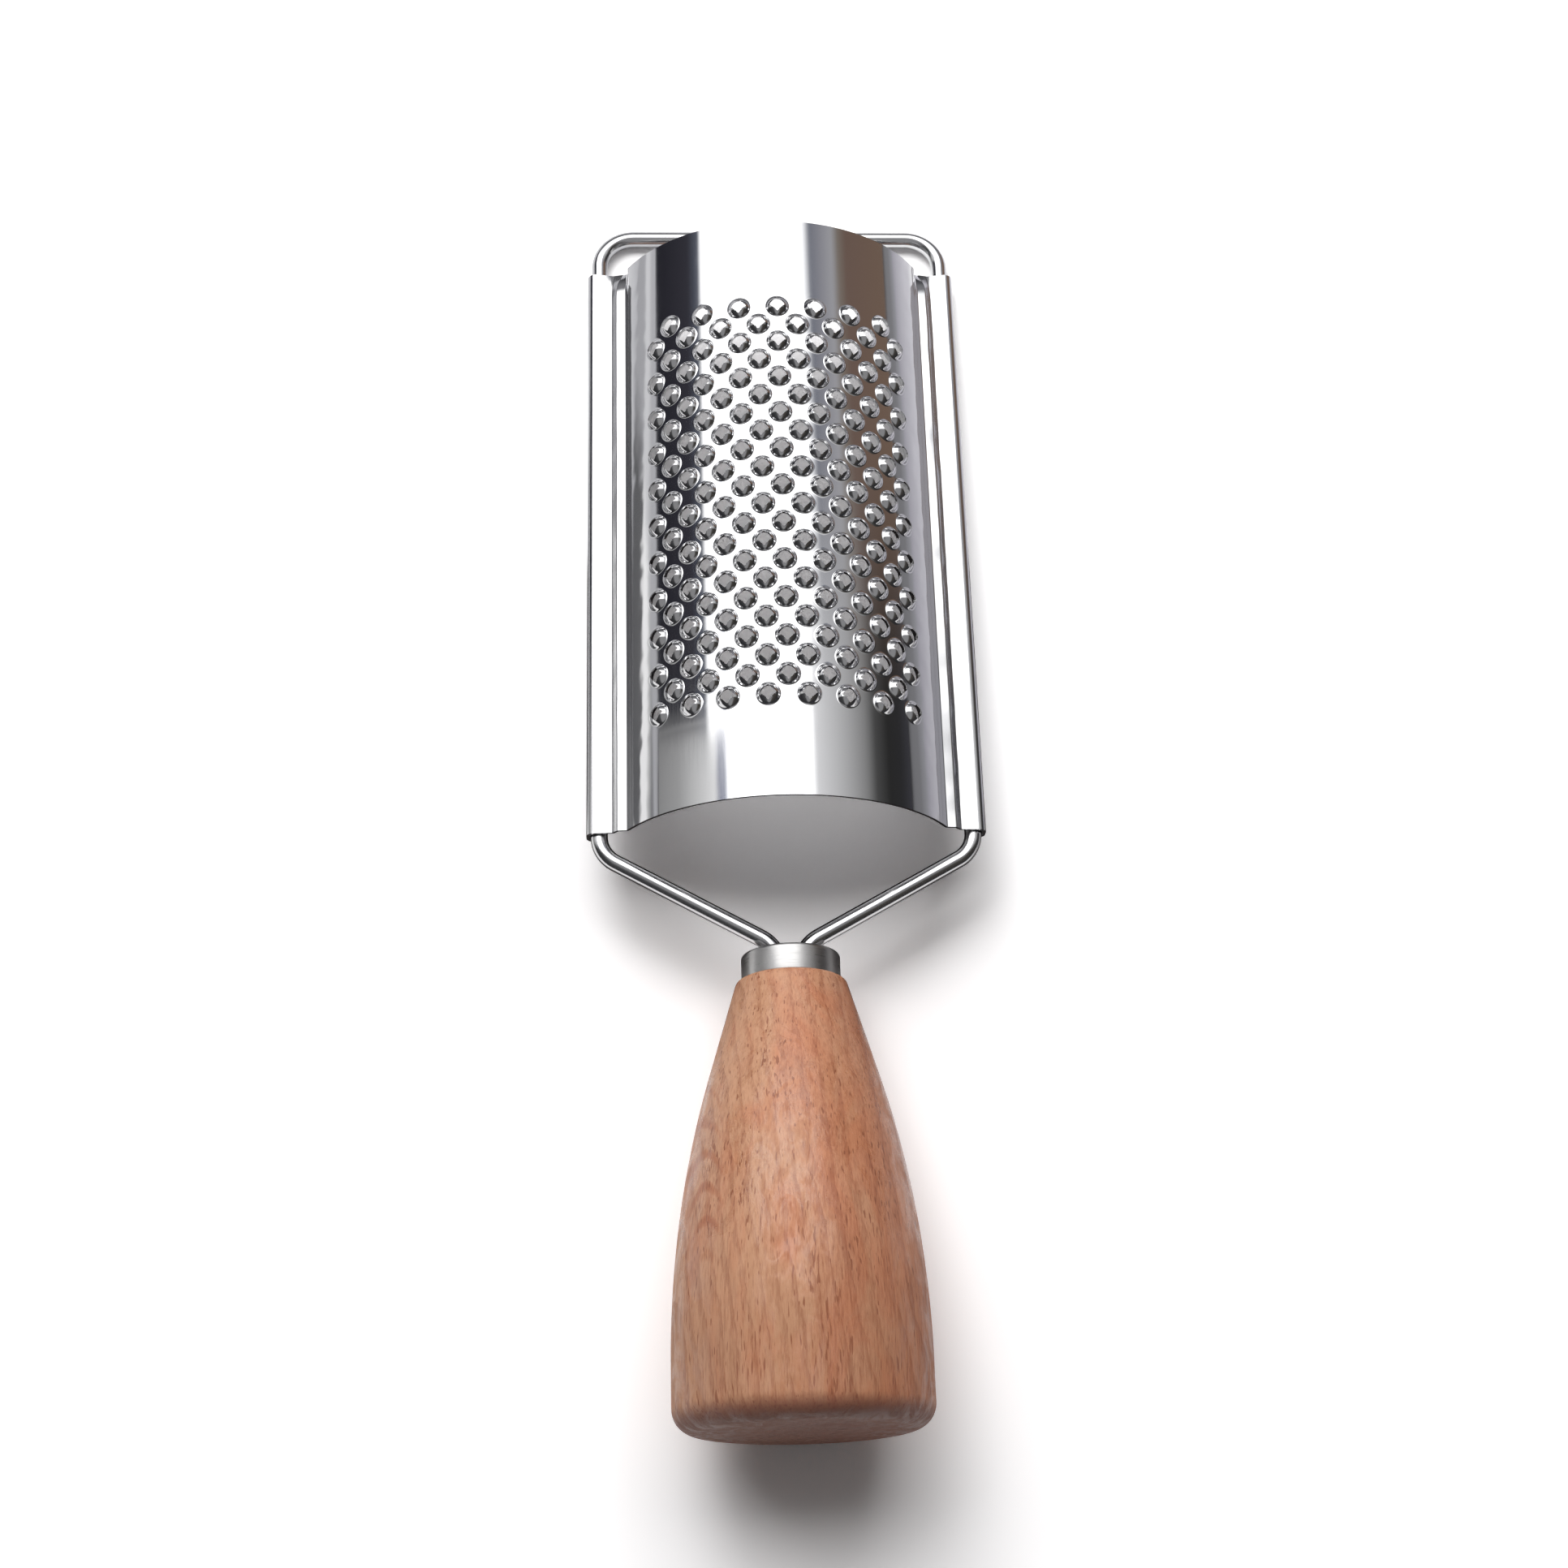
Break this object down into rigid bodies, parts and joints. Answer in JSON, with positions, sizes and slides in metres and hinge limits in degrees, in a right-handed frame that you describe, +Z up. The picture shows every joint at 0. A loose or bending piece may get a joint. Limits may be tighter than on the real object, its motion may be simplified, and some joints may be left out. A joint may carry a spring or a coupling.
{
  "type": "grater",
  "caption": "Hand grater with a half-round perforated metal sheet, its edges rolled round a bent wire frame, and a turned wooden handle.",
  "frame": {"origin": "centre of the footprint on the table, on the surface that the top bar and the belly of the handle rest on", "axes": "+Y from the butt of the handle towards the top bar, +Z up, +X to the right"},
  "size_m": [0.07, 0.2272, 0.0436],
  "materials": {
    "polished_sheet": "polished stainless steel sheet",
    "polished_wire": "polished stainless steel wire",
    "ferrule_steel": "drawn steel, turned to a fine sheen",
    "beech": "sanded beech with a thin oil finish",
    "hard_glue": "hardened glue"
  },
  "bodies": {
    "root": {"grating_sheet": "polished_sheet", "wire_frame": "polished_wire", "ferrule": "ferrule_steel", "handle": "beech", "bond_plug": "hard_glue"}
  },
  "joints": []
}
